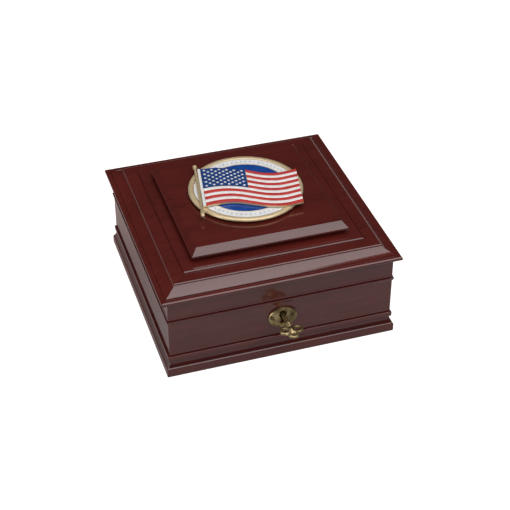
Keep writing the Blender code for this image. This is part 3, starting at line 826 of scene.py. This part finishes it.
CARD_FRONT = 88.22
CARD_BACK = 89.68
CARD_EASE = 0.6
FELT_HALF = 91.9
FELT_FOOT = 0.05
FELT_THICK = 2.6
FELT_EASE = 0.7
FLAT_CARD = [(-89.3, 10.65), (89.3, 10.65), (89.3, 51.95), (-89.3, 51.95)]
SHORT_CARD = [(-87.8, 10.65), (87.8, 10.65), (87.8, 51.95), (-87.8, 51.95)]
NOTCHED_CARD = [(-87.8, 10.65), (87.8, 10.65), (87.8, 51.95), (17.1, 51.95)]
NOTCHED_CARD += [(17.1, 30.45), (-17.1, 30.45), (-17.1, 51.95), (-87.8, 51.95)]
CARDS = (("front", NOTCHED_CARD, 0), ("back", SHORT_CARD, 2), ("right", FLAT_CARD, 1), ("left", FLAT_CARD, 3))
for where, outline, quarter in CARDS:
    spin = Matrix.Rotation(quarter * QUARTER, 3, "Z")
    corners = [spin @ Vector((x, -CARD_BACK, z)) for x, z in outline]
    card = eased_slab(corners, spin @ Vector((0, CARD_BACK - CARD_FRONT, 0)), CARD_EASE)
    piece = finish_piece("velvet_card_" + where, card, VELVET, "box", angle=60.0)
    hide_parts("wall_lining_" + where)

corners = [(x * FELT_HALF, y * FELT_HALF, FELT_FOOT) for x, y in ((-1, -1), (1, -1), (1, 1), (-1, 1))]
felt = eased_slab(corners, (0, 0, FELT_THICK), FELT_EASE)
piece = finish_piece("felt_sheet", felt, FELT, "box", angle=60.0)
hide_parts("bottom_felt")

# ------------------------------------------------------------------ stage and light

# Each floor tone is (place along Y, colour). The glow and the world are (for light, for the camera).
FLOOR_HALF = 8.0
FLOOR_NEAR = (-0.16, (0.46, 0.46, 0.46, 1.0))
FLOOR_FAR = (0.12, (0.54, 0.43, 0.40, 1.0))
FLOOR_GLOW = (0.05, 0.92)
WORLD = ((0.035, 0.035, 0.036, 1.0), (0.94, 0.94, 0.94, 1.0))

floor_mesh = bmesh.new()
bmesh.ops.create_grid(floor_mesh, x_segments=1, y_segments=1, size=FLOOR_HALF)
floor_data = bpy.data.meshes.new("floor")
floor_mesh.to_mesh(floor_data)
floor_mesh.free()
floor = bpy.data.objects.new("floor", floor_data)
floor.location.z = -0.0002
scene.collection.objects.link(floor)

# The floor is grey in front of the box and warmer behind, and the camera sees it nearly white.
pale, pale_tree, pale_shader = new_material("pale_floor")
pale_place = pale_tree.nodes.new("ShaderNodeSeparateXYZ")
link(pale_tree, object_coords(pale_tree), pale_place.inputs["Vector"])
pale_fall = pale_tree.nodes.new("ShaderNodeMapRange")
pale_fall.inputs["From Min"].default_value = FLOOR_NEAR[0]
pale_fall.inputs["From Max"].default_value = FLOOR_FAR[0]
link(pale_tree, pale_place.outputs["Y"], pale_fall.inputs["Value"])
pale_tone = mix(pale_tree, pale_fall.outputs["Result"], FLOOR_NEAR[1], FLOOR_FAR[1])
link(pale_tree, pale_tone, pale_shader.inputs["Base Color"])
pale_shader.inputs["Roughness"].default_value = 0.9
pale_shader.inputs["Specular IOR Level"].default_value = 0.0
pale_shader.inputs["Emission Color"].default_value = (1.0, 1.0, 1.0, 1.0)
seen = pale_tree.nodes.new("ShaderNodeLightPath")
glow = pale_tree.nodes.new("ShaderNodeMapRange")
glow.inputs["To Min"].default_value, glow.inputs["To Max"].default_value = FLOOR_GLOW
link(pale_tree, seen.outputs["Is Camera Ray"], glow.inputs["Value"])
link(pale_tree, glow.outputs["Result"], pale_shader.inputs["Emission Strength"])
floor_data.materials.append(pale)

# The world gives little light, and the camera sees it nearly white.
world = bpy.data.worlds.new("studio")
scene.world = world
world.use_nodes = True
sky_tree = world.node_tree
path = sky_tree.nodes.new("ShaderNodeLightPath")
shade = mix(sky_tree, path.outputs["Is Camera Ray"], *WORLD)
link(sky_tree, shade, sky_tree.nodes["Background"].inputs["Color"])


def softbox(name, place, aim, size, radiance):
    """A rectangular area light of this radiance, aimed at a point."""
    data = bpy.data.lights.new(name, "AREA")
    data.shape = "RECTANGLE"
    data.size, data.size_y = size
    data.energy = radiance * math.pi * size[0] * size[1]
    light = bpy.data.objects.new(name, data)
    light.location = place
    light.rotation_euler = (Vector(aim) - Vector(place)).to_track_quat("-Z", "Y").to_euler()
    scene.collection.objects.link(light)


softbox("key_light", (0.20, -0.37, 1.31), (0.05, 0.02, 0.08), (1.25, 2.74), 2.4)
softbox("fill_light", (-1.15, -0.35, 0.45), (0.0, 0.0, 0.05), (0.8, 0.8), 3.2)

bpy.context.view_layer.update()
